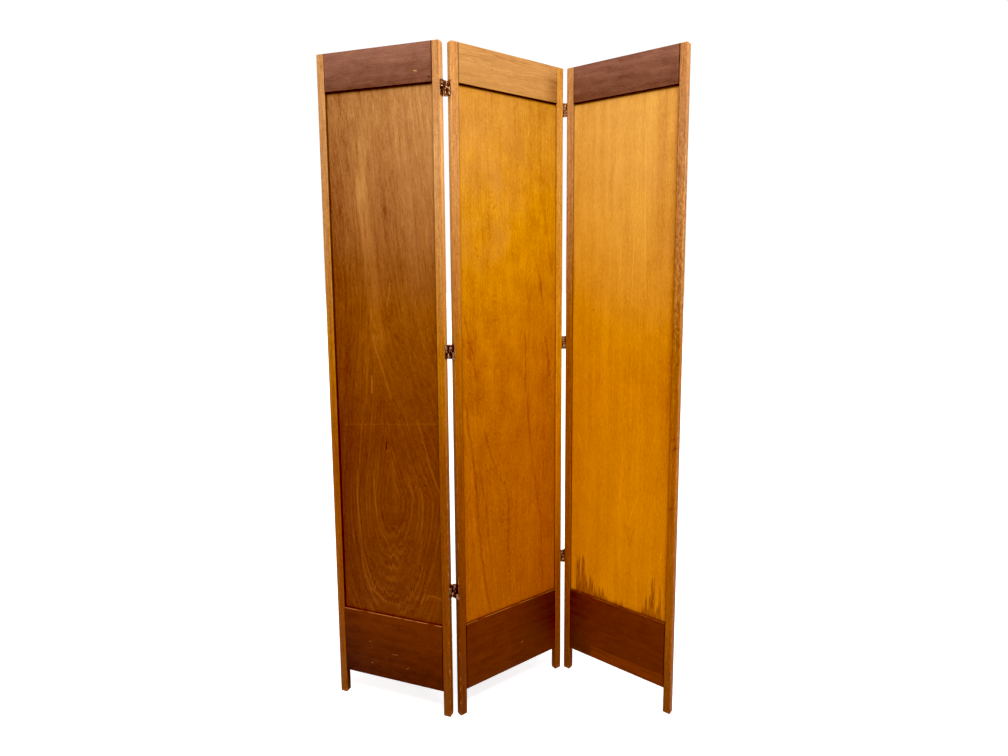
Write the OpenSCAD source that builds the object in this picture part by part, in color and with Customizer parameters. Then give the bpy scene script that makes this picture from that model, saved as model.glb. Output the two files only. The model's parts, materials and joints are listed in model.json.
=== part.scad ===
// Three-panel folding screen: three framed panels in a zigzag on six double-action hinges.
// +Z is up, +X runs along the zigzag, and the fronts of the panels look towards -Y.
// The origin lies on the floor under the middle of the folded screen's outline.

/* [Screen] */
// Height of every panel from the floor to the tops of its stiles
panel_h = 1750; // [1500:10:2000]
// Width of one panel over both its stiles
panel_w = 350; // [280:5:450]
// Turn of the middle panel out of the screen's length, in degrees
middle_turn = 37.5; // [0:0.5:60]
// Fold of the left panel behind the middle one, 0 is flat, in degrees
left_fold = 55.5; // [0:0.5:120]
// Fold of the right panel in front of the middle one, 0 is flat, in degrees
right_fold = 73.5; // [0:0.5:120]

/* [Stiles] */
// Width of a stile, seen from the front
stile_w = 22; // [20:1:40]
// Thickness of a stile, front to back
stile_t = 18; // [16:1:28]
// Radius of a stile's four long edges
stile_edge_r = 3; // [1:0.5:5]
// Radius of a stile's outer corner at the top
top_corner_r = 5; // [2:0.5:10]
// Radius of both corners of a foot
foot_corner_r = 4; // [2:0.5:8]
// Radius that eases the front and back of each stile end
end_ease_r = 2; // [1:0.5:5]

/* [Rails] */
// Height of the top rail
top_rail_h = 95; // [60:5:160]
// Height of the bottom rail
bottom_rail_h = 187; // [100:1:260]
// Clear height of the feet below the bottom rail
foot_h = 70; // [30:5:120]
// Step of the rails behind the faces of the stiles
rail_step = 0.5; // [0.2:0.1:1.5]
// Radius of the rails' long outer edges
rail_edge_r = 1.5; // [0.5:0.5:3]
// Radius of the rails' edges round the infill
bay_edge_r = 0.5; // [0.2:0.1:1.5]

/* [Plywood infill] */
// Thickness of the plywood
ply_t = 5; // [3:0.5:7]
// Depth of the groove that holds the plywood
groove_depth = 7; // [4:0.5:7]
// Play between the plywood and each wall of its groove
ply_play = 0.1; // [0.05:0.05:0.3]
// Room for the plywood to swell at each end of its groove
ply_swell = 0.5; // [0.2:0.1:2]

/* [Dowels] */
// Diameter of a dowel
dowel_d = 8; // [6:1:10]
// Length of a dowel in the stile
dowel_in_stile = 13; // [8:1:15]
// Length of a dowel in the rail
dowel_in_rail = 25; // [15:1:40]
// Play around a dowel in its hole, on the radius
dowel_play = 0.05; // [0.02:0.01:0.2]
// Room left at each end of a dowel
dowel_end_room = 1; // [0.5:0.5:3]
// Distance from a rail's edge to its first dowel
dowel_inset = 24; // [20:1:28]
// Dowels at each end of a top rail
top_rail_dowels = 2; // [2:1:3]
// Dowels at each end of a bottom rail
bottom_rail_dowels = 3; // [2:1:4]

/* [Hinges] */
// Height of a hinge
hinge_h = 36; // [34:1:60]
// Distance from the top of the panel to the middle of the highest hinge
top_hinge_drop = 109; // [60:1:200]
// Height above the floor of the middle of the lowest hinge
bottom_hinge_rise = 355; // [280:5:500]
// Thickness of a leaf
leaf_t = 1.4; // [1:0.1:1.8]
// Margin of a leaf inside the faces of its stile
leaf_margin = 0.5; // [0.5:0.1:1]
// Thickness of a link's plate
link_t = 1.4; // [1:0.1:2]
// Outer diameter of the barrels
barrel_d = 6.4; // [5.6:0.2:8]
// Gap between a barrel and the leaf that swings past it
barrel_gap = 0.4; // [0.3:0.1:1]
// Distance of the pin lines outside the faces of the stiles
pin_stand_off = 0.5; // [0.4:0.1:1]
// Height of each end knuckle on a leaf
leaf_knuckle_h = 5.2; // [4:0.2:6]
// Length of leaf that the neck of a knuckle takes up
neck_h = 3; // [2:0.5:3.5]
// Angle round a barrel at which its neck leaves it, in degrees
neck_angle = 65; // [50:5:75]
// Gap between neighbouring knuckles
knuckle_gap = 0.2; // [0.1:0.05:0.4]
// Half of the gap between the upper and the lower half of a hinge
half_gap = 0.25; // [0.1:0.05:0.5]

/* [Pins and screws] */
// Diameter of a hinge pin
pin_d = 3.2; // [2.4:0.2:4]
// Play around a hinge pin in its knuckles, on the radius
pin_play = 0.05; // [0.02:0.01:0.1]
// Diameter of a pin's head
pin_head_d = 4.8; // [4.4:0.2:5.4]
// Height of a pin's head
pin_head_h = 0.7; // [0.4:0.1:1.5]
// Diameter of a screw's shank
screw_d = 2.8; // [2:0.2:3.4]
// Diameter of a screw's countersunk head
screw_head_d = 5.6; // [5:0.2:6]
// Length of a screw with its head
screw_l = 12; // [9:0.5:12]
// Play around a screw in its hole, on the radius
screw_play = 0.05; // [0.02:0.01:0.15]
// Width of the slot in a screw's head
slot_w = 0.8; // [0.5:0.1:1]
// Depth of the slot in a screw's head
slot_depth = 0.7; // [0.4:0.1:0.9]
// Distance of the outer screws from the ends of a leaf
screw_inset = 6; // [5:0.5:7]
// Step of the screws to either side of a leaf's middle
screw_stagger = 2.5; // [1:0.5:3]

/* [Hidden] */
$fn = 48;

// Sides of the screen's pieces, and what each junction's hinges are called from top to bottom
panels = ["left", "middle", "right"];
junctions = ["left", "right"];
levels = ["top", "middle", "bottom"];
sides = ["left", "right"];
halves = ["upper", "lower"];

// Overlap by which a cutting shape passes the surface that it opens
past = 1;

// Frame of one panel
rail_l = panel_w - 2 * stile_w;
rail_t = stile_t - 2 * rail_step;
top_rail_z = panel_h - top_rail_h;
bay_z = foot_h + bottom_rail_h;
bay_h = top_rail_z - bay_z;
groove_w = ply_t + 2 * ply_play;
ply_reach = groove_depth - ply_swell;

// Hinge geometry: the pin lines run midway between two stiles, one before and one behind them
barrel_r = barrel_d / 2;
pin_y = stile_t / 2 + pin_stand_off;
leaf_face = barrel_r + barrel_gap;
half_between = leaf_face + leaf_t;
between = 2 * half_between;
leaf_w = stile_t - 2 * leaf_margin;
half_h = hinge_h / 2;
link_knuckle_low = half_gap + leaf_knuckle_h + knuckle_gap;
link_knuckle_high = half_h - leaf_knuckle_h - knuckle_gap;
hinge_zs = [
    panel_h - top_hinge_drop,
    (panel_h - top_hinge_drop + bottom_hinge_rise) / 2,
    bottom_hinge_rise
];

// Screws of a leaf: [across the leaf, along it]
screw_places = [
    [screw_stagger, half_h - screw_inset],
    [-screw_stagger, 0],
    [screw_stagger, screw_inset - half_h]
];

// Plan of the folded screen, before the origin is put under its middle.
// The left junction turns on its back pin line, which is at [0, 0].
// The right junction turns on its front pin line.
function turned(p, a) = [p.x * cos(a) - p.y * sin(a), p.x * sin(a) + p.y * cos(a)];
left_turn = middle_turn - left_fold;
right_turn = middle_turn - right_fold;
right_pivot = turned([panel_w + between, -2 * pin_y], middle_turn);
function panel_turn(p) = p == "left" ? left_turn : p == "right" ? right_turn : middle_turn;
function panel_start(p) =
    p == "left" ? turned([-panel_w - half_between, -pin_y], left_turn)
    : p == "right" ? right_pivot + turned([half_between, pin_y], right_turn)
    : turned([half_between, -pin_y], middle_turn);

// Outline in plan: the round corners of the stiles and the barrels, as [x, y, radius]
function plan_circles(p) = [
    for (x = [stile_edge_r, panel_w - stile_edge_r], side = [-1, 1])
        [each (panel_start(p) + turned([x, side * (stile_t / 2 - stile_edge_r)], panel_turn(p))), stile_edge_r],
    for (x = [p == "left" ? panel_w + half_between : -half_between], y = [-pin_y, pin_y])
        [each (panel_start(p) + turned([x, y], panel_turn(p))), barrel_r],
    if (p == "middle")
        for (y = [-pin_y, pin_y])
            [each (panel_start(p) + turned([panel_w + half_between, y], panel_turn(p))), barrel_r]
];
outline = [for (p = panels) each plan_circles(p)];
low_x = min([for (c = outline) c.x - c.z]);
high_x = max([for (c = outline) c.x + c.z]);
low_y = min([for (c = outline) c.y - c.z]);
high_y = max([for (c = outline) c.y + c.z]);
origin = [(low_x + high_x) / 2, (low_y + high_y) / 2];

// Colours as the photo shows them
golden_wood = "#c78541";
dark_rail = "#5a2608";
red_rail = "#8b5846";
light_rail = "#d99757";
brown_ply = "#8f4e14";
honey_ply = "#d48201";
yellow_ply = "#df8f08";
pale_wood = "#d9b483";
old_brass = "#6b4a26";
function top_rail_colour(p) = p == "middle" ? light_rail : red_rail;
function ply_colour(p) = p == "left" ? brown_ply : p == "middle" ? honey_ply : yellow_ply;

// Puts a piece that is drawn in a panel's own frame where that panel stands.
// That frame starts at the panel's left edge on the floor, midway through its thickness.
module on_panel(p) {
    translate([panel_start(p).x - origin.x, panel_start(p).y - origin.y, 0])
        rotate([0, 0, panel_turn(p)])
            children();
}

// Puts a piece that is drawn round the middle of a hinge on one edge of a panel
module on_edge(p, edge, z) {
    on_panel(p)
        translate([edge == "left" ? -half_between : panel_w + half_between, 0, z])
            children();
}

// The waste outside a rounded corner that lies at the origin
module corner_waste(r) {
    difference() {
        translate([-past, -past]) square(r + past);
        translate([r, r]) circle(r);
    }
}

// A rectangle from the origin with its own radius at each corner
module rounded_rect(w, h, low_left, low_right, high_right, high_left) {
    difference() {
        square([w, h]);
        corner_waste(low_left);
        translate([w, 0]) rotate(90) corner_waste(low_right);
        translate([w, h]) rotate(180) corner_waste(high_right);
        translate([0, h]) rotate(270) corner_waste(high_left);
    }
}

// A cylinder that lies along +X from the origin
module rod_x(r, l) {
    rotate([0, 90, 0]) cylinder(r = r, h = l);
}

// Heights of the dowels of a rail that starts at z, counted over its height
function dowel_heights(z, h, count) =
    [for (i = [0 : count - 1]) z + dowel_inset + i * (h - 2 * dowel_inset) / (count - 1)];
dowel_zs = concat(
    dowel_heights(foot_h, bottom_rail_h, bottom_rail_dowels),
    dowel_heights(top_rail_z, top_rail_h, top_rail_dowels)
);

// A left-hand stile: its outer edge is at x = 0, and its groove is in the inner edge.
// A stile that carries hinges is drilled for their screws.
module stile(hinged, screw_side) {
    difference() {
        intersection() {
            translate([0, -stile_t / 2, 0])
                linear_extrude(panel_h)
                    rounded_rect(stile_w, stile_t, stile_edge_r, stile_edge_r, stile_edge_r, stile_edge_r);
            translate([0, stile_t / 2 + past, 0])
                rotate([90, 0, 0])
                    linear_extrude(stile_t + 2 * past)
                        rounded_rect(
                            stile_w, panel_h, foot_corner_r, foot_corner_r, rail_edge_r, top_corner_r
                        );
            translate([-past, -stile_t / 2, 0])
                rotate([90, 0, 90])
                    linear_extrude(stile_w + 2 * past)
                        rounded_rect(stile_t, panel_h, end_ease_r, end_ease_r, end_ease_r, end_ease_r);
        }
        translate([stile_w - groove_depth, -groove_w / 2, bay_z - groove_depth])
            cube([groove_depth + past, groove_w, bay_h + 2 * groove_depth]);
        for (z = dowel_zs)
            translate([stile_w - dowel_in_stile - dowel_end_room, 0, z])
                rod_x(dowel_d / 2 + dowel_play, dowel_in_stile + dowel_end_room + past);
        if (hinged)
            for (z = hinge_zs, s = screw_places)
                translate([-past, screw_side * s.x, z + s.y])
                    rod_x(screw_d / 2 + screw_play, screw_l - leaf_t + past + screw_play);
    }
}

// A rail from x = 0, with dowel holes in both ends and a plywood groove in one edge.
// Only the edge that shows from above or below is eased.
module rail(h, holes, groove_at_top, edge_low, edge_high) {
    difference() {
        translate([0, -rail_t / 2, 0])
            rotate([90, 0, 90])
                linear_extrude(rail_l)
                    rounded_rect(rail_t, h, edge_low, edge_low, edge_high, edge_high);
        translate([-past, -groove_w / 2, groove_at_top ? h - groove_depth : -past])
            cube([rail_l + 2 * past, groove_w, groove_depth + past]);
        for (z = holes)
            for (x = [-past, rail_l - dowel_in_rail - dowel_end_room])
                translate([x, 0, z])
                    rod_x(dowel_d / 2 + dowel_play, dowel_in_rail + dowel_end_room + past);
    }
}

module left_stile(p) {
    hinged = p != "left";
    color(golden_wood) on_panel(p) stile(hinged, 1);
}

// The right-hand stile is the same piece mirrored, apart from its drilling
module right_stile(p) {
    hinged = p != "right";
    color(golden_wood) on_panel(p) translate([panel_w, 0, 0]) mirror([1, 0, 0]) stile(hinged, -1);
}

module top_rail(p) {
    color(top_rail_colour(p))
        on_panel(p)
            translate([stile_w, 0, top_rail_z])
                rail(
                    top_rail_h, dowel_heights(0, top_rail_h, top_rail_dowels), false,
                    bay_edge_r, rail_edge_r
                );
}

module bottom_rail(p) {
    color(dark_rail)
        on_panel(p)
            translate([stile_w, 0, foot_h])
                rail(
                    bottom_rail_h, dowel_heights(0, bottom_rail_h, bottom_rail_dowels), true,
                    rail_edge_r, bay_edge_r
                );
}

module infill(p) {
    color(ply_colour(p))
        on_panel(p)
            translate([stile_w - ply_reach, -ply_t / 2, bay_z - ply_reach])
                cube([rail_l + 2 * ply_reach, ply_t, bay_h + 2 * ply_reach]);
}

// A dowel along +X from the origin, with a tapered lead at both ends
module dowel() {
    lead = dowel_d / 8;
    r = dowel_d / 2;
    rotate([0, 90, 0]) {
        cylinder(r1 = r - lead, r2 = r, h = lead);
        translate([0, 0, lead]) cylinder(r = r, h = dowel_in_stile + dowel_in_rail - 2 * lead);
        translate([0, 0, dowel_in_stile + dowel_in_rail - lead]) cylinder(r1 = r, r2 = r - lead, h = lead);
    }
}

module dowels(p) {
    color(pale_wood)
        on_panel(p)
            for (z = dowel_zs) {
                translate([stile_w - dowel_in_stile, 0, z]) dowel();
                translate([panel_w - stile_w - dowel_in_rail, 0, z]) dowel();
            }
}

// Plan of a leaf's knuckle on the pin line at the origin, with its neck to a leaf on the +X side.
// The neck ends just short of where the other leaf lies when the two panels are folded together.
module leaf_knuckle_plan() {
    lip = pin_y - leaf_w / 2 - barrel_gap;
    root = pin_y - leaf_w / 2 + neck_h;
    difference() {
        union() {
            circle(barrel_r);
            polygon([
                [0, -lip],
                [half_between - barrel_gap, -lip],
                [half_between, -lip + barrel_gap],
                [half_between, root],
                [leaf_face, root],
                [barrel_r * cos(neck_angle), barrel_r * sin(neck_angle)]
            ]);
        }
        circle(pin_d / 2 + pin_play);
    }
}

// The two knuckles of a leaf on its back pin line, in the upper half of the hinge
module leaf_knuckle_pair() {
    for (z = [half_gap, half_h - leaf_knuckle_h])
        translate([0, pin_y, z])
            linear_extrude(leaf_knuckle_h)
                mirror([0, 1])
                    leaf_knuckle_plan();
}

// A hinge leaf for the edge of a stile on its +X side, drawn round the middle of the hinge.
// Its upper knuckles stand on the back pin line and its lower ones on the front pin line.
module leaf() {
    difference() {
        union() {
            translate([leaf_face, -leaf_w / 2, -half_h]) cube([leaf_t, leaf_w, hinge_h]);
            leaf_knuckle_pair();
            rotate([180, 0, 0]) leaf_knuckle_pair();
        }
        for (s = screw_places)
            translate([leaf_face, s.x, s.y])
                rotate([0, 90, 0]) {
                    cylinder(
                        r1 = screw_head_d / 2 + screw_play, r2 = screw_d / 2 + screw_play, h = leaf_t
                    );
                    translate([0, 0, -past / 2]) cylinder(r = screw_d / 2 + screw_play, h = leaf_t + past);
                }
    }
}

// The upper link: a plate midway between the leaves, with a knuckle on each pin line.
// Beside the knuckles of the leaves the plate is cut back.
module upper_link() {
    short_y = pin_y - barrel_r - barrel_gap;
    difference() {
        union() {
            translate([-link_t / 2, -short_y, half_gap]) cube([link_t, 2 * short_y, half_h - half_gap]);
            translate([0, 0, link_knuckle_low])
                linear_extrude(link_knuckle_high - link_knuckle_low) {
                    translate([-link_t / 2, -pin_y]) square([link_t, 2 * pin_y]);
                    for (y = [-pin_y, pin_y]) translate([0, y]) circle(barrel_r);
                }
        }
        for (y = [-pin_y, pin_y])
            translate([0, y, 0]) cylinder(r = pin_d / 2 + pin_play, h = half_h);
    }
}

// The lower link is the same piece turned over
module link(half) {
    if (half == "upper") upper_link();
    if (half == "lower") rotate([180, 0, 0]) upper_link();
}

// A pin on the back pin line through the knuckles of the hinge's upper half.
// Its head sits on the top knuckle, and its foot ends flush with the lowest.
module pin() {
    translate([0, pin_y, half_gap]) cylinder(r = pin_d / 2, h = half_h - half_gap);
    translate([0, pin_y, half_h]) {
        cylinder(r = pin_head_d / 2, h = pin_head_h / 2);
        translate([0, 0, pin_head_h / 2])
            cylinder(r1 = pin_head_d / 2, r2 = pin_head_d / 3, h = pin_head_h / 2);
    }
}

// The two pins that belong to a leaf on the +X side
module pin_pair() {
    pin();
    rotate([180, 0, 0]) pin();
}

// A countersunk wood screw along +X, its head's face at the origin
module screw() {
    tip = screw_d;
    difference() {
        rotate([0, 90, 0]) {
            cylinder(r1 = screw_head_d / 2, r2 = screw_d / 2, h = leaf_t);
            translate([0, 0, leaf_t]) cylinder(r = screw_d / 2, h = screw_l - leaf_t - tip);
            translate([0, 0, screw_l - tip]) cylinder(r1 = screw_d / 2, r2 = screw_d / 8, h = tip);
        }
        translate([-past, -screw_head_d, -slot_w / 2]) cube([slot_depth + past, 2 * screw_head_d, slot_w]);
    }
}

// What is drawn for a leaf on the +X side serves the other side turned half round.
// A junction's left leaf is on the right edge of the panel to its left.
module on_side(j, side, z) {
    owner = side == "left" ? (j == "left" ? "left" : "middle") : (j == "left" ? "middle" : "right");
    on_edge(owner, side == "left" ? "right" : "left", z)
        rotate([0, 0, side == "left" ? 180 : 0])
            children();
}

module hinge_leaf(j, side, z) {
    color(old_brass) on_side(j, side, z) leaf();
}

// The left junction folds back, so its upper links stay with the left panel and its lower
// links go with the middle one. The right junction folds forward, the other way about.
module hinge_link(j, half, z) {
    side = (j == "left") == (half == "upper") ? "left" : "right";
    color(old_brass) on_side(j, side, z) link(half);
}

module hinge_pins(j, side) {
    color(old_brass) for (z = hinge_zs) on_side(j, side, z) pin_pair();
}

module hinge_screws(j, side) {
    color(old_brass)
        for (z = hinge_zs, s = screw_places)
            on_side(j, side, z) translate([leaf_face, s.x, s.y]) screw();
}

for (p = panels) {
    left_stile(p);
    right_stile(p);
    top_rail(p);
    bottom_rail(p);
    infill(p);
    dowels(p);
}
for (j = junctions) {
    for (i = [0 : len(levels) - 1], s = sides)
        hinge_leaf(j, s, hinge_zs[i]);
    for (i = [0 : len(levels) - 1], h = halves)
        hinge_link(j, h, hinge_zs[i]);
    for (s = sides) {
        hinge_pins(j, s);
        hinge_screws(j, s);
    }
}
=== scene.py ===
import json
import math

import bmesh
import bpy
from mathutils import Matrix, Vector

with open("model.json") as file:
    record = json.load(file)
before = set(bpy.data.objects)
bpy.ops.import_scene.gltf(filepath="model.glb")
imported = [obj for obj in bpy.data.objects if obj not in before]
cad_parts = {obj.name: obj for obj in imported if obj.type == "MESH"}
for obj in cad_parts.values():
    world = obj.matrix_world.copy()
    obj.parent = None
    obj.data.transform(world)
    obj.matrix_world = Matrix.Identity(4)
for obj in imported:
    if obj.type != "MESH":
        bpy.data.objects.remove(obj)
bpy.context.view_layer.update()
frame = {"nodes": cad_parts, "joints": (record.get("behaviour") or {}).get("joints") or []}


# Viewpoint
# The screen is seen from standing height in front of its near fold, a little downwards.
# The picture is cut from a wider one, so its middle lies beside the middle of the lens.
camera_place = Vector((0.1104, -1.6586, 1.2066))
camera_dip = math.radians(-6.78)
camera_swing = math.radians(0.11)
camera_roll = math.radians(0.06)
focal_mm, sensor_mm = 22.06, 36.0
picture_shift = (-0.0370, -0.0350)

camera = bpy.data.objects.new("camera", bpy.data.cameras.new("camera"))
camera.data.sensor_width = sensor_mm
camera.data.lens = focal_mm
camera.data.shift_x, camera.data.shift_y = picture_shift
camera.matrix_world = (
    Matrix.Translation(camera_place)
    @ Matrix.Rotation(camera_swing, 4, "Z")
    @ Matrix.Rotation(math.pi / 2 + camera_dip, 4, "X")
    @ Matrix.Rotation(camera_roll, 4, "Z")
)
bpy.context.scene.collection.objects.link(camera)
bpy.context.scene.camera = camera

# The photograph is printed with hard blacks, so the darkest tones are pulled down a little
black_point = 0.017
view = bpy.context.scene.view_settings
view.view_transform = "Standard"
view.use_curve_mapping = True
view.curve_mapping.black_level = (black_point,) * 3
view.curve_mapping.update()


# Stiles
# Each panel stands on two planed hardwood stiles with rounded long edges, whose ends are the feet.
# They are stained golden brown and varnished; the stain grows paler near the top, partly in itself and
# partly as painted light from above, and painted light makes their outer sides paler up high. Painted
# shade darkens the sides that face the plywood, and a painted highlight runs along their outer arrises,
# which are also rubbed to bare wood here and there.
panel_w = 0.350
screen_h = 1.750
stile_w, stile_t = 0.022, 0.018
# The bay between the rails, which the plywood fills, starts above a foot and the bottom rail
top_rail_h, bottom_rail_h, foot_h = 0.095, 0.187, 0.070
bay_low, bay_high = foot_h + bottom_rail_h, screen_h - top_rail_h
# How far a pivot lies beyond a panel's edge and off its mid thickness
pin_line = Vector((0.005, 0.0095))

joints = {joint["name"]: joint for joint in frame["joints"]}
left_pivot = Vector(joints["left_fold"]["pos_m"][:2])
right_pivot = Vector(joints["right_fold"]["pos_m"][:2])


def turned(vector, angle):
    """A plan vector turned anticlockwise."""
    return Matrix.Rotation(angle, 2) @ vector


# Both pivots belong to the middle panel too, one behind its left edge and one before its right edge,
# and an outer panel lies flat with the middle one where its joint is at its lower limit
between_pivots = Vector((panel_w, 0)) + 2 * Vector((pin_line.x, -pin_line.y))
middle_turn = between_pivots.angle_signed(right_pivot - left_pivot) * -1
left_turn = middle_turn + math.radians(joints["left_fold"]["range_deg"][0])
right_turn = middle_turn + math.radians(joints["right_fold"]["range_deg"][0])
panel_turns = {"left": left_turn, "middle": middle_turn, "right": right_turn}
panel_starts = {
    "left": left_pivot - turned(Vector((panel_w + pin_line.x, pin_line.y)), left_turn),
    "middle": left_pivot + turned(Vector((pin_line.x, -pin_line.y)), middle_turn),
    "right": right_pivot + turned(pin_line, right_turn),
}


def tone(code):
    """A colour written as on screen, as linear light."""
    channels = [int(code[i : i + 2], 16) / 255 for i in (0, 2, 4)]
    return (*(c / 12.92 if c <= 0.04045 else ((c + 0.055) / 1.055) ** 2.4 for c in channels), 1.0)


class Paint:
    """A socket of a finish. Arithmetic on it adds Math nodes, and node() adds any other node."""

    def __init__(self, tree, socket=None):
        self.tree = tree
        self.socket = socket

    def node(self, kind, settings=None, inputs=None, output=0):
        """Adds a node: first its settings or a ramp's stops, then its sockets' values or links."""
        made = self.tree.nodes.new("ShaderNode" + kind)
        for name, value in (settings or {}).items():
            if name == "stops":
                ramp = made.color_ramp
                while len(ramp.elements) < len(value):
                    ramp.elements.new(1.0)
                for stop, (place, colour) in zip(ramp.elements, value):
                    stop.position, stop.color = place, colour
            else:
                setattr(made, name, value)
        for name, value in (inputs or {}).items():
            if isinstance(value, Paint):
                self.tree.links.new(value.socket, made.inputs[name])
            else:
                made.inputs[name].default_value = value
        return Paint(self.tree, made.outputs[output] if made.outputs else None)

    def math(self, operation, *values):
        return self.node("Math", {"operation": operation}, dict(enumerate(values)))

    def __add__(self, other):
        return self.math("ADD", self, other)

    def __sub__(self, other):
        return self.math("SUBTRACT", self, other)

    def __rsub__(self, other):
        return self.math("SUBTRACT", other, self)

    def __mul__(self, other):
        return self.math("MULTIPLY", self, other)

    def __truediv__(self, other):
        return self.math("DIVIDE", self, other)

    def __pow__(self, other):
        return self.math("POWER", self, other)

    def __abs__(self):
        return self.math("ABSOLUTE", self)

    __radd__, __rmul__ = __add__, __mul__

    def least(self, other):
        return self.math("MINIMUM", self, other)

    def most(self, other):
        return self.math("MAXIMUM", self, other)

    def cosine(self):
        return self.math("COSINE", self)

    def held_under(self, other, softness):
        """The smaller of two numbers, with a soft turn from one to the other."""
        return self.math("SMOOTH_MIN", self, other, softness)

    def rise(self, low, high):
        """0 below low, 1 above high and smooth between; it falls instead where low is above high."""
        values = {"Value": self, "From Min": low, "From Max": high}
        return self.node("MapRange", {"interpolation_type": "SMOOTHSTEP"}, values)

    def blend(self, none, full):
        """The colour none where this number is 0, and full where it is 1."""
        return self.node("Mix", {"data_type": "RGBA"}, {0: self, 6: none, 7: full}, 2)

    def lighter(self, amount, spread):
        """This colour times 1 + amount, where the spread says how much of it each channel takes."""
        change = self.node("VectorMath", {"operation": "SCALE"}, {0: spread, "Scale": amount})
        change = self.node("VectorMath", {"operation": "ADD"}, {0: change, 1: (1.0, 1.0, 1.0)})
        return self.node("VectorMath", {"operation": "MULTIPLY"}, {0: self, 1: change})

    def axes(self):
        """The three numbers of this vector."""
        split = self.tree.nodes.new("ShaderNodeSeparateXYZ")
        self.tree.links.new(self.socket, split.inputs[0])
        return [Paint(self.tree, part) for part in split.outputs]


def start_finish(name):
    """A new material and the paint that its nodes are made with."""
    finish = bpy.data.materials.new(name)
    finish.use_nodes = True
    finish.node_tree.nodes.clear()
    return finish, Paint(finish.node_tree)


def panel_space(paint, panel):
    """Metres from the panel's left edge along its width, from its mid thickness, and from the floor."""
    frame_of_panel = {
        "Vector": paint.node("TexCoord", output="Object"),
        "Location": (*panel_starts[panel], 0.0),
        "Rotation": (0.0, 0.0, panel_turns[panel]),
    }
    return paint.node("Mapping", {"vector_type": "TEXTURE"}, frame_of_panel)


def grain_shift(step, panel):
    """Where in the noise a panel's piece takes its grain from, so that no two pieces are alike."""
    return step * (1 + list(panel_turns).index(panel))


def streaks(space, across, along, shift, detail=2.0, slant=0.0):
    """Noise about 0 stretched along the third axis, the grain, in marks about that wide and long."""
    stretched = {
        "Vector": space,
        "Rotation": (0.0, slant, 0.0),
        "Scale": (1 / across, 1 / across, 1 / along),
        "Location": (shift,) * 3,
    }
    noise = {"Vector": space.node("Mapping", inputs=stretched), "Scale": 1.0, "Detail": detail}
    return space.node("TexNoise", inputs=noise, output="Fac") - 0.5


def by_height(height, tones):
    """The colour of a wood from the floor up, given at a few levels."""
    stops = [(level / screen_h, colour) for level, colour in tones]
    return height.node("ValToRGB", {"stops": stops}, {"Fac": height / screen_h})


def stroke(across, height, start, end, width):
    """1 on a straight mark in the panel's face, fading to 0 half its width to each side."""
    run = Vector(end) - Vector(start)
    aside, above = across - start[0], height - start[1]
    along = ((aside * run.x + above * run.y) / run.length_squared).most(0.0).least(1.0)
    off = (aside - along * run.x) ** 2 + (above - along * run.y) ** 2
    return (off**0.5).rise(width / 2, 0.0)


def varnish(paint, finish, colour, roughness, relief, depth, coat=0.04):
    """Closes a wood finish: what varies goes to its colour, roughness and bump."""
    raised = {"Height": relief, "Strength": 0.5, "Distance": depth}
    skin = {
        "Base Color": colour,
        "Roughness": roughness,
        "Specular IOR Level": 0.10,
        "Coat Weight": coat,
        "Coat Roughness": 0.35,
        "Normal": paint.node("Bump", inputs=raised, output="Normal"),
    }
    shader = paint.node("BsdfPrincipled", inputs=skin)
    paint.node("OutputMaterial", inputs={"Surface": shader})
    return finish


# The stain at a few levels, paler upwards partly in itself and partly as painted light from above,
# and how much of a change in lightness each of its channels takes
stile_tones = (
    (0.03, "763c0d"), (0.33, "82430c"), (0.70, "8b490d"),
    (1.00, "a66518"), (1.50, "b37d4b"), (1.70, "b37d4b"),
)
stile_spread = (0.75, 1.05, 1.2)
# How much lighter or darker than those tones each stile is, at the same levels
stile_shades = {
    ("left", "left"): (0.0, 0.03, 0.0, -0.05, 0.0, 0.05),
    ("left", "right"): (-0.12, -0.20, -0.15, 0.0, 0.16, -0.12),
    ("middle", "left"): (-0.38, -0.42, -0.16, -0.24, 0.02, -0.06),
    ("middle", "right"): (-0.15, 0.20, 1.0, 0.42, 0.17, 0.04),
    ("right", "left"): (-0.03, 0.18, 0.10, -0.36, -0.13, -0.04),
    ("right", "right"): (0.10, 0.24, 0.45, -0.22, -0.20, -0.22),
}
# Stiles that are yellower than the rest in their upper part, and how much
stile_yellows = {("middle", "right"): 0.5, ("middle", "left"): 0.15}
yellow_spread = (0.0, -0.1, -1.0)
# How strongly the grain of each stile curls, where that isn't as on most
stile_curls = {("right", "right"): 2.0, ("right", "left"): 0.9}
usual_curl = 0.3
# How dark the painted shade is on the side of each stile that faces the plywood, where that isn't as on
# most
inner_side_shades = {("left", "left"): 0.85, ("middle", "right"): 0.30, ("right", "left"): 0.45}
usual_side_shade = 0.6
# Cracks across the outer edge of the right panel's outer stile
stile_cracks = (
    ((0.330, 0.765), (0.350, 0.773)),
    ((0.336, 0.740), (0.350, 0.747)),
    ((0.330, 0.578), (0.350, 0.586)),
)
crack_width = 0.005
# Where the painted light and shade of a side, the wear and the painted highlight of an arris and the wear
# of a foot fade out, and where they are full, measured from the side, from the arris and from the floor
side_light_and_shade, arris_wear_and_highlight, foot_wear = (0.0006, 0.0001), (0.0026, 0.0012), (0.012, 0.003)
# The painted shade on the inner sides, and the pale wood of worn spots and of the painted arris highlight
side_shade_tone, bare_and_highlit_wood = "3a1604", "d08e50"


def stile_stain(panel, side, height, light):
    """The stain of one stile from the floor up, with how much lighter its grain makes it."""
    tones = []
    for (level, code), shade in zip(stile_tones, stile_shades[panel, side]):
        shaded = [channel * (1 + shade * share) for channel, share in zip(tone(code), stile_spread)]
        tones.append((level, (*shaded, 1.0)))
    yellowed = height.rise(0.95, 1.2) * stile_yellows.get((panel, side), 0.0)
    return by_height(height, tones).lighter(light, stile_spread).lighter(yellowed, yellow_spread)


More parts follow.
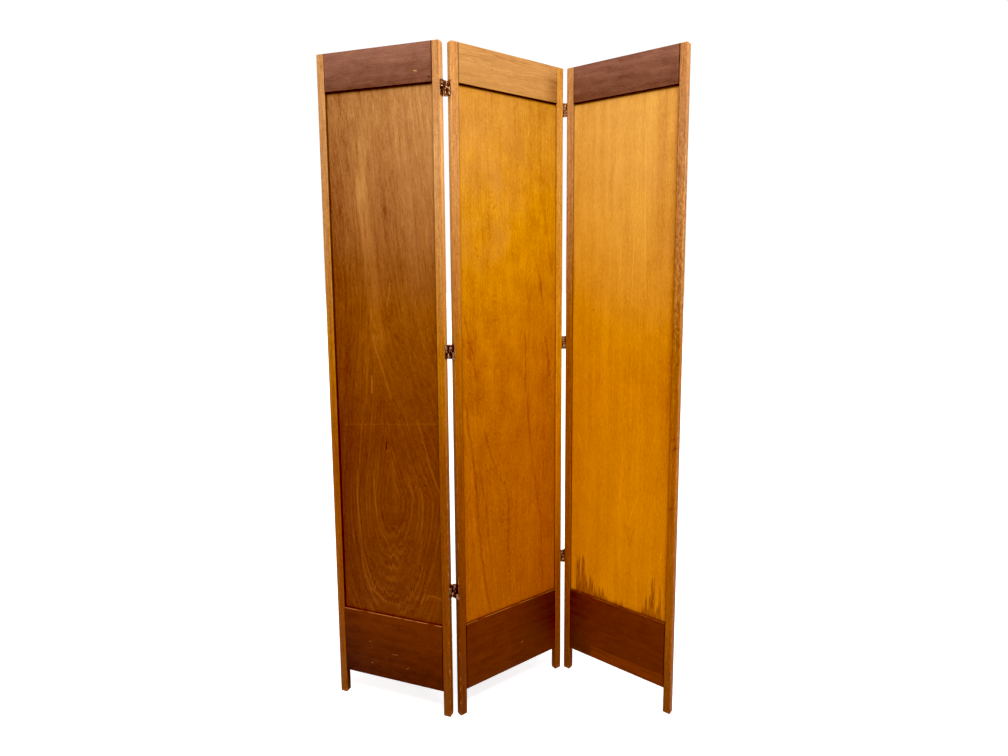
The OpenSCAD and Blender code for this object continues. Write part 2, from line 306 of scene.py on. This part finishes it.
def stile_wear_and_shading(panel, side, colour, space, shift):
    """This colour with painted light and painted shade on the stile's sides, its worn spots and a painted
    highlight along its outer arrises, and how strongly the wear and the highlight show.
    """
    across, through, height = space.axes()
    middle = stile_w / 2 if side == "left" else panel_w - stile_w / 2
    to_side = stile_w / 2 - abs(across - middle)
    to_face = stile_t / 2 - abs(through)
    to_end = height.least(screen_h - height)
    to_bay = 0.001 if side == "left" else -0.001
    inward = across.rise(middle - to_bay, middle + to_bay)
    outward = 1.0 - inward
    on_side = to_side.rise(*side_light_and_shade)
    # Painted light: the outer sides are made paler, more so higher up
    colour = colour.lighter(on_side * outward * 0.45 * height.rise(0.2, 1.2), stile_spread)
    # Painted shade darkens the sides that face the plywood
    shaded_side = on_side * inward * inner_side_shades.get((panel, side), usual_side_shade)
    colour = shaded_side.blend(colour, tone(side_shade_tone))

    to_arris = to_side.least(to_face).most(to_side.most(to_face).least(to_end))
    chips = streaks(space, 0.003, 0.016, shift + 9, 3.0)
    # Along the outer arrises a painted highlight that grows upwards, with patches of wear
    arris_highlight_and_wear = 0.12 * height.rise(0.2, 0.9) + chips.rise(0.02, 0.12) * 0.2 + chips.rise(0.12, 0.18) * 0.4
    bare_and_highlit = to_arris.rise(*arris_wear_and_highlight) * outward * arris_highlight_and_wear
    bare_and_highlit = bare_and_highlit.most(height.rise(*foot_wear) * chips.rise(0.0, 0.10) * 0.25)
    return bare_and_highlit.blend(colour, tone(bare_and_highlit_wood)), bare_and_highlit


def stile_finish(panel, side):
    finish, paint = start_finish(f"{panel}_{side}_stile_wood")
    space = panel_space(paint, panel)
    across, _, height = space.axes()
    shift = grain_shift(11.0, panel) + (5.0 if side == "right" else 0.0)
    broad = streaks(space, 0.006, 0.30, shift, 1.0)
    bands = streaks(space, 0.0028, 0.05, shift + 3)
    fibres = streaks(space, 0.0014, 0.014, shift + 5)
    flecks = streaks(space, 0.0020, 0.005, shift + 6, 1.0)
    pores = streaks(space, 0.0005, 0.006, shift + 7, 1.0).rise(0.12, 0.22)
    light = broad * 0.7 + bands * 0.8 + fibres * 0.8 + flecks * 0.8 - pores * 0.2
    curl = streaks(space, 0.005, 0.009, shift + 8, slant=0.7)
    # The grain curls most between 1.1 and 1.4 m above the floor
    curled = 0.3 + 0.7 * height.rise(0.85, 1.10) * height.rise(1.6, 1.4)
    light += curl * curled * stile_curls.get((panel, side), usual_curl)
    if (panel, side) == ("right", "right"):
        for start, end in stile_cracks:
            light -= 0.5 * stroke(across, height + curl * 0.02, start, end, crack_width)
    stain = stile_stain(panel, side, height, light)
    colour, bare_and_highlit = stile_wear_and_shading(panel, side, stain, space, shift)
    roughness = 0.42 + 0.3 * streaks(space, 0.01, 0.1, shift + 2) + bare_and_highlit * 0.25
    return varnish(paint, finish, colour, roughness, fibres * 0.6 - pores, 0.0002)


for panel in panel_turns:
    for side in ("left", "right"):
        stile = frame["nodes"][f"{panel}_panel_{side}_stile"]
        stile.material_slots[0].material = stile_finish(panel, side)


# Dowels
# Two plain beech dowels hold each end of a top rail and three each end of a bottom rail.
# They are bare and glued into their holes, so they only show when a panel is taken apart.
dark_beech, pale_beech = "c69a66", "e2c08e"


def dowel_finish():
    finish, paint = start_finish("bare_beech")
    place = paint.node("TexCoord", output="Object")
    flecks = paint.node("TexNoise", inputs={"Vector": place, "Scale": 900.0})
    colour = flecks.rise(0.35, 0.65).blend(tone(dark_beech), tone(pale_beech))
    return varnish(paint, finish, colour, 0.6 + 0.1 * flecks, flecks, 0.0001, coat=0.0)


beech = dowel_finish()
for panel in panel_turns:
    frame["nodes"][f"{panel}_panel_dowels"].material_slots[0].material = beech


# Rails
# A broad rail joins the stiles at the top and the bottom, its grain lying across the panel.
# The middle panel's top rail is golden, and the others are stained a deep red brown. The ledge
# under the plywood is drawn pale, the underside of a top rail is painted dark as shade, and the stain
# is chipped in a few places.
rail_tones = {
    ("golden", "top"): ((1.66, "a3723d"), (1.75, "ad7b46")),
    ("red", "top"): ((1.66, "704634"), (1.745, "7c5140")),
    ("red", "bottom"): ((0.07, "552002"), (0.25, "5b2302")),
}
rail_spread = (0.9, 1.1, 1.2)
# How strongly the mottle, the bands, the lines and the flecks show in each kind of wood
rail_figure = {"golden": (0.15, 0.4, 0.6, 0.2), "red": (0.6, 0.6, 0.3, 0.45)}
# How much lighter or darker each rail is along its lower and its upper edge
rail_shades = {
    ("left", "top"): (-0.14, 0.20),
    ("middle", "top"): (0.04, 0.08),
    ("right", "top"): (-0.20, 0.0),
    ("left", "bottom"): (-0.36, 0.20),
    ("middle", "bottom"): (0.0, 0.05),
    ("right", "bottom"): (0.10, 0.15),
}
# Dents through the stain to pale wood, and knots: start, end and width
rail_chips = {
    ("left", "top"): [((0.281, 1.685), (0.287, 1.684), 0.005), ((0.268, 1.713), (0.271, 1.713), 0.002)],
    ("left", "bottom"): [
        ((0.102, 0.107), (0.110, 0.108), 0.0025),
        ((0.217, 0.112), (0.224, 0.117), 0.0022),
        ((0.172, 0.146), (0.188, 0.146), 0.0020),
        ((0.098, 0.170), (0.106, 0.170), 0.0015),
    ],
    ("middle", "bottom"): [((0.202, 0.135), (0.209, 0.138), 0.0030)],
}
rail_knots = {
    ("left", "top"): [((0.319, 1.668), (0.324, 1.666), 0.009)],
    ("middle", "top"): [((0.117, 1.703), (0.119, 1.703), 0.006)],
}
# How plainly the chips show in a top and in a bottom rail, and how plainly the knots and the grime
# in the joints show in each kind of wood
chipped = {"top": 0.8, "bottom": 0.36}
knotted = {"golden": 0.35, "red": 0.8}
joint_dark = {"golden": 0.4, "red": 0.7}
# How far in from the faces the ledge on a bottom rail is drawn paler, and how pale it is
ledge_front = 0.0030
ledge_paleness = {"left": 0.75, "middle": 0.5, "right": 0.35}
chip_wood, knot_wood, ledge_wood = "c08a5c", "3c1c0c", "ae7444"
# The grime in the joints, and the painted shade under a top rail
joint_grime, underside_shade_tone = "2a0e05", "140603"


def rail_light(panel, name, across, height, lines):
    """How much lighter or darker the parts of one rail are than the rest of it."""
    below, above = rail_shades[panel, name]
    low, high = (foot_h, bay_low) if name == "bottom" else (bay_high, screen_h)
    light = below + (above - below) * height.rise(low, high)
    if (panel, name) == ("middle", "top"):
        # Its upper part is lined, and its right end is darker low down
        upper = height.rise(bay_high + 0.025, bay_high + 0.060)
        light = light + lines * upper * 0.8 - lines.rise(0.02, 0.12) * (0.08 + upper * 0.42)
        light = light + 0.02 - 0.42 * across.rise(0.275, 0.325) * height.rise(1.755, 1.680)
    if (panel, name) == ("left", "bottom"):
        light -= 0.22 * across.rise(0.11, 0.03)
    if (panel, name) == ("right", "bottom"):
        # A paler strip of grain runs along its lower edge
        strip = height.rise(foot_h + 0.040, foot_h + 0.032) * across.rise(0.09, 0.10)
        light += strip * 0.75 * (0.7 + lines * 3.0)
    return light


def rail_wear_and_shade(panel, name, wood, colour, space, lying, mottle, shift):
    """This colour with the rail's grimy joints, its chips and knots, and its pale ledge or the painted
    shade on its underside.
    """
    across, through, height = space.axes()
    to_stile = (across - stile_w).least(panel_w - stile_w - across)
    in_joint = to_stile.rise(0.0026, 0.0006) * joint_dark[wood]
    colour = in_joint.blend(colour, tone(joint_grime))
    rough_across, rough_height = across + mottle * 0.008, height + mottle * 0.008
    for start, end, width in rail_chips.get((panel, name), []):
        chip = stroke(rough_across, rough_height, start, end, width)
        colour = (chip * chipped[name]).blend(colour, tone(chip_wood))
    for start, end, width in rail_knots.get((panel, name), []):
        knot = stroke(rough_across, rough_height, start, end, width)
        colour = (knot * knotted[wood]).blend(colour, tone(knot_wood))
    # The underside of a top rail is painted dark as shade
    if name == "top":
        underside = height.rise(bay_high + 0.0012, bay_high + 0.0003)
        return (underside * 0.9).blend(colour, tone(underside_shade_tone))
    kept = streaks(lying, 0.01, 0.03, shift + 5).rise(0.20, -0.05)
    front = stile_t / 2 - ledge_front
    near_face = abs(through).rise(front - 0.0005, front + 0.0005)
    ledge = height.rise(bay_low - 0.0010, bay_low - 0.0005) * near_face
    return (ledge * kept * ledge_paleness[panel]).blend(colour, tone(ledge_wood))


def rail_finish(panel, name):
    wood = "golden" if (panel, name) == ("middle", "top") else "red"
    finish, paint = start_finish(f"{panel}_{name}_rail_wood")
    space = panel_space(paint, panel)
    across, through, height = space.axes()
    shift = grain_shift(101.0, panel) + (7.0 if name == "top" else 0.0)
    sway = streaks(space, 0.08, 0.02, shift + 9, 1.0)
    lying = paint.node("CombineXYZ", inputs={0: height + sway * 0.012, 1: through, 2: across})
    lines = streaks(lying, 0.0026, 0.12, shift)
    mottle = streaks(space, 0.030, 0.018, shift + 1, 4.0)
    fibres = streaks(lying, 0.0014, 0.02, shift + 3)
    flecks = streaks(lying, 0.0020, 0.005, shift + 6, 1.0)
    pores = streaks(lying, 0.0005, 0.006, shift + 4, 1.0).rise(0.12, 0.22)
    bands = streaks(lying, 0.012, 0.16, shift + 10)
    mottled, banded, lined, flecked = rail_figure[wood]
    light = mottle * mottled + bands * banded + lines * lined + flecks * flecked
    light = light + fibres * 0.6 - pores * 0.15 + rail_light(panel, name, across, height, lines)
    tones = [(level, tone(code)) for level, code in rail_tones[wood, name]]
    colour = by_height(height, tones).lighter(light, rail_spread)
    # The middle and the right bottom rail are darker and less red towards each other
    if (panel, name) == ("middle", "bottom"):
        shaded = across.rise(0.13, 0.33) * (0.7 + mottle * 2.0) * height.rise(0.06, 0.20)
        colour = colour.lighter(shaded * -0.50, (1.0, 0.3, 0.2))
    if (panel, name) == ("right", "bottom"):
        colour = colour.lighter(across.rise(0.12, 0.03) * -0.30, (1.0, 0.2, 0.2))
    colour = rail_wear_and_shade(panel, name, wood, colour, space, lying, mottle, shift)
    roughness = 0.42 + 0.25 * streaks(lying, 0.012, 0.08, shift + 2)
    return varnish(paint, finish, colour, roughness, fibres * 0.6 - pores, 0.00015)


for panel in panel_turns:
    for name in ("top", "bottom"):
        rail = frame["nodes"][f"{panel}_panel_{name}_rail"]
        rail.material_slots[0].material = rail_finish(panel, name)


# Plywood infill
# A thin sheet of plywood sits in grooves all round, its outer veneers peeled from the log so that
# the grain runs upright. The left sheet is brown, with a nest of pointed arches over jagged bows.
# The middle one is honey, and the right one plain yellow, with dark water stains at its foot.
# Each sheet grows paler upwards, partly in its own tone and partly as painted light from above
infill_tones = {
    "left": (
        (0.37, "6f3308"), (0.75, "73360a"), (1.10, "804312"),
        (1.225, "82481b"), (1.30, "8c5326"), (1.60, "9f6a3a"),
    ),
    "middle": ((0.37, "9b5102"), (0.70, "9f5602"), (1.00, "a96203"), (1.35, "b3750d"), (1.60, "ac7324")),
    "right": ((0.50, "c77802"), (0.90, "c57803"), (1.35, "c78932"), (1.60, "c78f41")),
}
infill_spread = (0.65, 1.0, 1.1)
# The heart of each sheet's figure: where it is, how far its middle line leans to the right for each
# metre up, above it and below it, how jagged its rings are, how fast they close in bows below it
# and in points above and below it, how far from it they do, how blunt the points are, how far
# apart the rings are, and how strongly they show
hearts = {
    "left": {
        "across": 0.186, "level": 0.60, "lean_up": -0.090, "lean_down": 0.04, "jags": 0.058,
        "bow": 0.37, "point_up": 0.22, "point_down": 0.0, "reach": 0.50, "blunt": 0.002,
        "spacing": 0.0105, "contrast": 1.0,
    },
    "middle": {
        "across": 0.130, "level": 1.05, "lean_up": -0.05, "lean_down": -0.05, "jags": 0.04,
        "bow": 0.0, "point_up": 0.05, "point_down": 0.30, "reach": 0.45, "blunt": 0.004,
        "spacing": 0.0130, "contrast": 0.24,
    },
    "right": {
        "across": 0.209, "level": 0.80, "lean_up": -0.03, "lean_down": -0.01, "jags": 0.03,
        "bow": 0.0, "point_up": 0.05, "point_down": 0.24, "reach": 0.35, "blunt": 0.003,
        "spacing": 0.0140, "contrast": 0.16,
    },
}
# How streaked each sheet is, how blotched and how flecked, the tone and the strength of the painted
# sheen on its varnish high up, and from where to where across it that painted sheen grows
sheet_looks = {
    "left": (0.25, 0.55, 0.85, "b98552", 0.25, (0.10, 0.28)),
    "middle": (0.25, 0.85, 0.9, "c68a4a", 0.35, (0.27, 0.12)),
    "right": (0.55, 0.4, 0.5, "cf9550", 0.25, (0.05, 0.16)),
}
# Marks drawn on each sheet: a course, which goes upwards where it bends, its width, and how much
# lighter or darker the wood is there
infill_marks = {
    "left": [
        (((0.152, 0.98), (0.150, 1.05), (0.138, 1.20), (0.124, 1.34), (0.116, 1.43)), 0.044, 0.42),
        (((0.116, 1.37), (0.116, 1.43), (0.124, 1.48), (0.127, 1.56)), 0.030, 0.30),
        (((0.113, 0.850), (0.118, 0.970), (0.133, 1.030)), 0.010, 0.35),
        (((0.188, 0.869), (0.169, 0.930), (0.147, 0.992), (0.137, 1.04)), 0.012, 0.45),
        (((0.092, 0.362), (0.082, 0.419), (0.075, 0.490), (0.073, 0.576), (0.075, 0.662)), 0.008, 0.70),
        (((0.092, 0.362), (0.108, 0.326)), 0.008, 0.65),
        (((0.108, 0.326), (0.154, 0.294)), 0.008, 0.60),
        (((0.154, 0.294), (0.200, 0.291)), 0.008, 0.40),
        (((0.169, 0.461), (0.151, 0.487), (0.137, 0.527), (0.129, 0.583), (0.126, 0.667)), 0.008, 0.65),
        (((0.219, 0.482), (0.238, 0.541), (0.246, 0.597), (0.235, 0.651)), 0.008, 0.45),
        (((0.237, 0.386), (0.257, 0.431), (0.270, 0.489), (0.275, 0.573), (0.271, 0.628)), 0.008, 0.45),
        (((0.326, 0.625), (0.300, 0.690), (0.264, 0.816)), 0.008, 0.80),
        (((0.263, 0.309), (0.276, 0.335)), 0.008, 0.60),
        (((0.279, 0.321), (0.290, 0.334)), 0.009, 0.65),
        (((0.290, 0.334), (0.303, 0.335)), 0.009, 0.65),
        (((0.303, 0.335), (0.325, 0.330)), 0.009, 0.65),
        (((0.131, 0.880), (0.131, 0.925)), 0.007, 1.30),
        (((0.170, 0.729), (0.172, 0.749)), 0.008, -0.90),
        (((0.195, 1.170), (0.183, 1.110)), 0.006, 0.60),
        (((0.042, 0.787), (0.330, 0.810)), 0.007, 0.30),
        (((0.190, 0.700), (0.192, 0.560)), 0.026, 0.30),
        (((0.172, 1.560), (0.196, 1.180)), 0.030, -0.18),
        (((0.250, 1.620), (0.262, 1.480)), 0.030, -0.14),
    ],
    "middle": [
        (((0.104, 0.255), (0.077, 0.421), (0.066, 0.537), (0.061, 0.650), (0.031, 0.865)), 0.012, -0.30),
        (((0.092, 0.255), (0.065, 0.421), (0.054, 0.537), (0.049, 0.650), (0.030, 0.800)), 0.014, 0.12),
        (((0.184, 0.300), (0.178, 0.454), (0.182, 0.600)), 0.018, 0.10),
        (((0.106, 0.412), (0.097, 0.501), (0.089, 0.588), (0.071, 0.675)), 0.010, -0.20),
        (((0.287, 0.266), (0.279, 0.361), (0.279, 0.483), (0.247, 0.669), (0.229, 0.845)), 0.013, -0.22),
        (((0.172, 0.273), (0.169, 0.334), (0.163, 0.454), (0.167, 0.570), (0.151, 0.622)), 0.010, -0.22),
        (((0.128, 0.669), (0.109, 0.709), (0.088, 0.782)), 0.010, -0.20),
        (((0.128, 0.669), (0.141, 0.712)), 0.009, -0.16),
        (((0.151, 0.619), (0.131, 0.646), (0.106, 0.685)), 0.010, -0.20),
        (((0.151, 0.619), (0.171, 0.655)), 0.009, -0.16),
        (((0.317, 1.191), (0.295, 1.328), (0.281, 1.395), (0.274, 1.500), (0.277, 1.644)), 0.014, -0.20),
        (((0.285, 1.105), (0.278, 1.163), (0.261, 1.226)), 0.012, -0.32),
        (((0.223, 0.874), (0.226, 0.958), (0.223, 1.041)), 0.009, -0.34),
        (((0.307, 0.902), (0.303, 0.960), (0.294, 1.020)), 0.014, -0.34),
        (((0.061, 0.973), (0.048, 1.023), (0.035, 1.077)), 0.008, -0.20),
        (((0.069, 0.927), (0.049, 0.978), (0.038, 1.055), (0.029, 1.099)), 0.009, -0.20),
        (((0.240, 0.380), (0.230, 0.680)), 0.140, 0.14),
        (((0.060, 0.850), (0.050, 1.000)), 0.120, -0.12),
        (((0.165, 1.020), (0.150, 1.280)), 0.120, 0.10),
        (((0.300, 0.900), (0.290, 1.150)), 0.080, -0.10),
        (((0.0685, 1.257), (0.0695, 1.259)), 0.006, -0.90),
        (((0.0745, 1.239), (0.0755, 1.241)), 0.006, -0.90),
        (((0.122, 1.360), (0.132, 1.372)), 0.006, -0.50),
    ],
    "right": [
        (((0.2385, 1.580), (0.246, 1.130)), 0.0045, 0.24),
        (((0.222, 1.560), (0.1975, 0.910)), 0.0045, 0.20),
        (((0.114, 1.340), (0.110, 1.180)), 0.0045, 0.18),
        (((0.142, 1.330), (0.140, 1.190)), 0.0045, 0.18),
        (((0.176, 1.340), (0.170, 1.180)), 0.0045, 0.16),
        (((0.188, 0.700), (0.182, 0.560)), 0.005, 0.22),
        (((0.195, 0.571), (0.209, 0.502)), 0.005, 0.34),
        (((0.209, 0.502), (0.232, 0.580)), 0.005, 0.30),
        (((0.196, 0.500), (0.213, 0.4455)), 0.005, -0.30),
        (((0.213, 0.4455), (0.228, 0.500)), 0.005, -0.26),
        (((0.130, 1.390), (0.150, 1.500)), 0.012, -0.14),
        (((0.0885, 1.094), (0.0895, 1.096)), 0.006, -0.60),
        (((0.043, 0.735), (0.047, 0.695)), 0.005, 0.26),
    ],
}
# How dark the painted shade is along the left and the right edge of each sheet, and how far it reaches
edge_shades = {
    "left": ((0.75, 0.0045), (0.35, 0.0030)),
    "middle": ((0.35, 0.006), (0.1, 0.002)),
    "right": ((0.1, 0.002), (0.35, 0.0025)),
}
# Where water stood on the right bottom rail: the middle of each run of spikes, half its width,
# and how high its tallest spike is drawn up the sheet
water_stains = (
    (0.057, 0.020, 0.105), (0.085, 0.016, 0.060), (0.118, 0.022, 0.038), (0.165, 0.040, 0.018),
    (0.275, 0.012, 0.060), (0.288, 0.007, 0.105), (0.285, 0.035, 0.040), (0.309, 0.004, 0.105),
)
# The painted shade along the frame, and the water stains
frame_shade_tone, water_tone = "2c0c02", "6a2404"


def bent_space(space, heart, shift):
    """The sheet's space with the distance from the heart of its figure in place of its width."""
    across, through, height = space.axes()
    jags = streaks(space, 0.0055, 0.15, shift)
    waver = streaks(space, 0.10, 0.40, shift + 1, 1.0)
    above = height - heart["level"] + jags * heart["jags"]
    over, under = above.most(0.0), (above * -1.0).most(0.0)
    aside = across - heart["across"] - over * heart["lean_up"] + under * heart["lean_down"] + waver * 0.03
    round_part = aside**2 + (under * heart["bow"]) ** 2 + heart["blunt"] ** 2
    upward = over.held_under(heart["reach"], 0.2) * heart["point_up"]
    downward = under.held_under(heart["reach"], 0.2) * heart["point_down"]
    radius = round_part**0.5 + upward + downward
    return space.node("CombineXYZ", inputs={0: radius, 1: through, 2: height})


def ring_figure(space, ringed, heart, shift):
    """How much lighter the rings of the veneer's figure make it, with the fibres along them."""
    radius, _, height = ringed.axes()
    uneven = streaks(ringed, 0.030, 1.5, shift + 13, 1.0) * 0.020
    turn = (radius + uneven) * (2 * math.pi / heart["spacing"])
    bright_rings = (0.5 + 0.5 * turn.cosine()) ** 2.2
    patchy = 0.10 + 0.90 * streaks(space, 0.05, 0.10, shift + 2).rise(-0.12, 0.12)
    patchy = patchy * (1.0 - 0.6 * radius.rise(0.10, 0.16))
    low_down = height.rise(0.58, 0.46)
    figure = (bright_rings * patchy - 0.2) * (0.25 + 0.20 * height.rise(1.0, 0.7) + 0.20 * low_down)
    bows = (turn * 0.5).cosine() * low_down * radius.rise(0.09, 0.05)
    late_wood = streaks(ringed, 0.008, 0.3, shift + 3)
    ring_fibres = streaks(ringed, 0.0018, 0.022, shift + 4)
    return (figure + bows * 0.12 + late_wood * 0.75 + ring_fibres * 0.9) * heart["contrast"]


def sheet_light(panel, space, ringed, shift):
    """How much lighter or darker the parts of one sheet are, and the fine grain that only it has."""
    across, _, height = space.axes()
    if panel == "left":
        sides = 0.16 * across.rise(0.15, 0.28) * height.rise(0.8, 1.2) - 0.20 * across.rise(0.105, 0.055)
        return sides + streaks(ringed, 0.0034, 0.05, shift + 15, 1.0) * 0.7 * height.rise(0.75, 1.05)
    if panel == "middle":
        bands = streaks(space, 0.012, 0.30, shift + 14) * 0.35 * height.rise(0.6, 0.9)
        return bands + streaks(space, 0.0034, 0.08, shift + 15, 1.0) * 0.4
    # Painted shadow of the right stile along the sheet's right edge
    stile_shadow = 0.18 * (panel_w - stile_w - across).rise(0.020, 0.0)
    right_part = 0.16 * across.rise(0.245, 0.295) * (0.4 + 0.6 * height.rise(0.5, 0.9))
    return streaks(space, 0.004, 0.5, shift + 14) * 0.25 - stile_shadow - right_part


def winding(across, height, points, width):
    """1 on a mark that winds up the panel's face, fading to 0 half its width to each side."""
    low, high = points[0][1], points[-1][1]
    stops = [(level / screen_h, (place, place, place, 1.0)) for place, level in points]
    course = height.node("ValToRGB", {"stops": stops}, {"Fac": height / screen_h}).axes()[0]
    ends = height.rise(low - width, low + width) * height.rise(high + width, high - width)
    # A wide mark is even over the middle of its width
    even = width * 0.3 if width > 0.02 else 0.0
    return abs(across - course).rise(width / 2, even) * ends


def marks(panel, across, height):
    """How much lighter or darker the marks drawn on a sheet make it."""
    light = 0.0
    for points, width, strength in infill_marks[panel]:
        if len(points) == 2:
            mark = stroke(across, height, *points, width)
        else:
            mark = winding(across, height, points, width)
        light += mark * strength
    return light


def water(space, shift):
    """How dark water has left the sheet just above the bottom rail."""
    across, _, height = space.axes()
    spikes = streaks(space, 0.0045, 0.50, shift, 3.0).rise(-0.14, 0.14)
    reach = across * 0.0
    for middle, half, tallest in water_stains:
        reach = reach.most(abs(across - middle).rise(half, half * 0.7) * tallest)
    tips = reach * (0.45 + spikes * 0.70)
    inside = (tips - (height - bay_low)).rise(-0.002, 0.018)
    broken = streaks(space, 0.0022, 0.03, shift + 1).rise(-0.20, 0.10)
    return inside * (0.35 + 0.65 * broken)


def frame_shade(panel, across, height):
    """How dark the painted shade is along the frame, darkest as a painted shadow under the top rail."""
    (left_dark, left_reach), (right_dark, right_reach) = edge_shades[panel]
    left = (across - stile_w).rise(left_reach, 0.0003) * left_dark
    right = (panel_w - stile_w - across).rise(right_reach, 0.0003) * right_dark
    top = (bay_high - height).rise(0.0075, 0.0020) * 0.85
    bottom = (height - bay_low).rise(0.0020, 0.0002) * 0.4
    return left.most(right).most(top).most(bottom)


def infill_finish(panel):
    finish, paint = start_finish(f"{panel}_plywood")
    space = panel_space(paint, panel)
    across, _, height = space.axes()
    shift = grain_shift(211.0, panel)
    streaked, blotched, flecked, sheen_tone, sheen_strength, sheen_across = sheet_looks[panel]
    ringed = bent_space(space, hearts[panel], shift)
    broad = streaks(space, 0.03, 0.4, shift + 5)
    blotches = streaks(space, 0.045, 0.07, shift + 6, 4.0) * (0.6 + 0.4 * height.rise(0.7, 1.0))
    fibres = streaks(space, 0.0020, 0.016, shift + 7)
    flecks = streaks(ringed, 0.0020, 0.007, shift + 11, 1.0)
    pores = streaks(ringed, 0.0008, 0.012, shift + 8, 1.0).rise(0.10, 0.20)
    wander = streaks(space, 0.02, 0.03, shift + 9, 3.0) * 0.010
    light = ring_figure(space, ringed, hearts[panel], shift) + sheet_light(panel, space, ringed, shift)
    light = light + broad * streaked + blotches * blotched + flecks * flecked
    light = light + fibres * 0.5 - pores * 0.12 + marks(panel, across + wander, height)
    tones = [(level, tone(code)) for level, code in infill_tones[panel]]
    colour = by_height(height, tones).lighter(light, infill_spread)

    # A painted sheen on the varnish high up
    painted_sheen = 0.4 + 0.6 * streaks(space, 0.06, 0.10, shift + 12, 3.0).rise(-0.15, 0.20)
    painted_sheen = painted_sheen * height.rise(1.0, 1.5) * (0.3 + 0.7 * across.rise(*sheen_across))
    colour = (painted_sheen * sheen_strength).blend(colour, tone(sheen_tone))
    if panel == "right":
        colour = (water(space, shift) * 0.7).blend(colour, tone(water_tone))
    # Painted shade along the frame, with a painted shadow under the top rail
    colour = frame_shade(panel, across, height).blend(colour, tone(frame_shade_tone))
    roughness = 0.40 + 0.25 * streaks(space, 0.02, 0.2, shift + 10)
    return varnish(paint, finish, colour, roughness, fibres - pores * 0.5, 0.00012)


for panel in panel_turns:
    frame["nodes"][f"{panel}_panel_infill"].material_slots[0].material = infill_finish(panel)


# Hinges
# Six double-action hinges of stamped and rolled brass, each with two leaves, two links and four
# pins, screwed into the edges of the stiles. The metal has darkened and is bright where it rubs, with
# painted glints that are brighter higher up.
dark_brass, bright_brass = "582c1a", "f4c49c"


def hinge_finish():
    finish, paint = start_finish("old_brass")
    place = paint.node("TexCoord", output="Object")
    blotches = paint.node("TexNoise", inputs={"Vector": place, "Scale": 300.0, "Detail": 3.0})
    specks = paint.node("TexNoise", inputs={"Vector": place, "Scale": 900.0, "Detail": 2.0})
    # Bright spots are worn brass and painted glints, and they are painted brighter higher up
    worn_and_glinting = blotches.rise(0.44, 0.54) * specks.rise(0.42, 0.52)
    worn_and_glinting = worn_and_glinting * (0.45 + 0.55 * place.axes()[2].rise(0.4, 1.4))
    pitted = {"Height": specks, "Strength": 0.4, "Distance": 0.0001}
    metal = {
        "Base Color": worn_and_glinting.blend(tone(dark_brass), tone(bright_brass)),
        "Metallic": 1.0,
        "Roughness": 0.5 - 0.2 * worn_and_glinting,
        "Normal": paint.node("Bump", inputs=pitted, output="Normal"),
    }
    paint.node("OutputMaterial", inputs={"Surface": paint.node("BsdfPrincipled", inputs=metal)})
    return finish


brass = hinge_finish()
for name, piece in frame["nodes"].items():
    if "_hinges_" in name:
        piece.material_slots[0].material = brass


# Studio
# A white room around a pale matt floor. A broad soft lamp far above lights the floor evenly, and
# another high in front makes the top of the screen lighter than its feet. To the camera the room
# and the floor shine brighter than they light, so that they meet without a horizon.
room_light, horizon_glow, room_glow = 0.46, 1.02, 1.04
floor_radius, floor_glow = 30.0, 0.60
white, black, floor_paint = "ffffff", "000000", "fbfaf9"


def lamp(name, kind, place, target, power, **settings):
    """Adds a lamp at a place, turned to a target."""
    light = bpy.data.lights.new(name, kind)
    light.energy = power
    for setting, value in settings.items():
        setattr(light, setting, value)
    made = bpy.data.objects.new(name, light)
    made.location = place
    made.rotation_euler = (Vector(target) - Vector(place)).to_track_quat("-Z", "Y").to_euler()
    bpy.context.scene.collection.objects.link(made)


softness = math.radians(40.0)
lamp("ceiling_lamp", "SUN", place=(0.6, -1.1, 3.4), target=(0.0, 0.0, 0.0), power=1.8, angle=softness)
lamp("high_lamp", "AREA", place=(0.45, -1.35, 2.85), target=(0.0, 0.0, 1.6), power=44.0, size=1.0)

world = bpy.data.worlds.new("studio")
bpy.context.scene.world = world
world.use_nodes = True
world.node_tree.nodes.clear()
sky = Paint(world.node_tree)
upward = sky.node("TexCoord", output="Generated").axes()[2]
shown = horizon_glow + (room_glow - horizon_glow) * upward.rise(0.0, 0.2)
to_camera = sky.node("LightPath", output="Is Camera Ray")
room = {"Color": tone(white), "Strength": room_light + (shown - room_light) * to_camera}
sky.node("OutputWorld", inputs={"Surface": sky.node("Background", inputs=room)})

floor_mesh = bpy.data.meshes.new("floor")
shape = bmesh.new()
bmesh.ops.create_circle(shape, cap_ends=True, radius=floor_radius, segments=96)
shape.to_mesh(floor_mesh)
shape.free()
floor = bpy.data.objects.new("floor", floor_mesh)
bpy.context.scene.collection.objects.link(floor)
finish, paint = start_finish("pale_floor")
to_camera = paint.node("LightPath", output="Is Camera Ray")
matt = {
    "Base Color": tone(floor_paint),
    "Roughness": 0.9,
    "Specular IOR Level": 0.2,
    "Emission Color": to_camera.blend(tone(black), tone(white)),
    "Emission Strength": floor_glow,
}
paint.node("OutputMaterial", inputs={"Surface": paint.node("BsdfPrincipled", inputs=matt)})
floor_mesh.materials.append(finish)
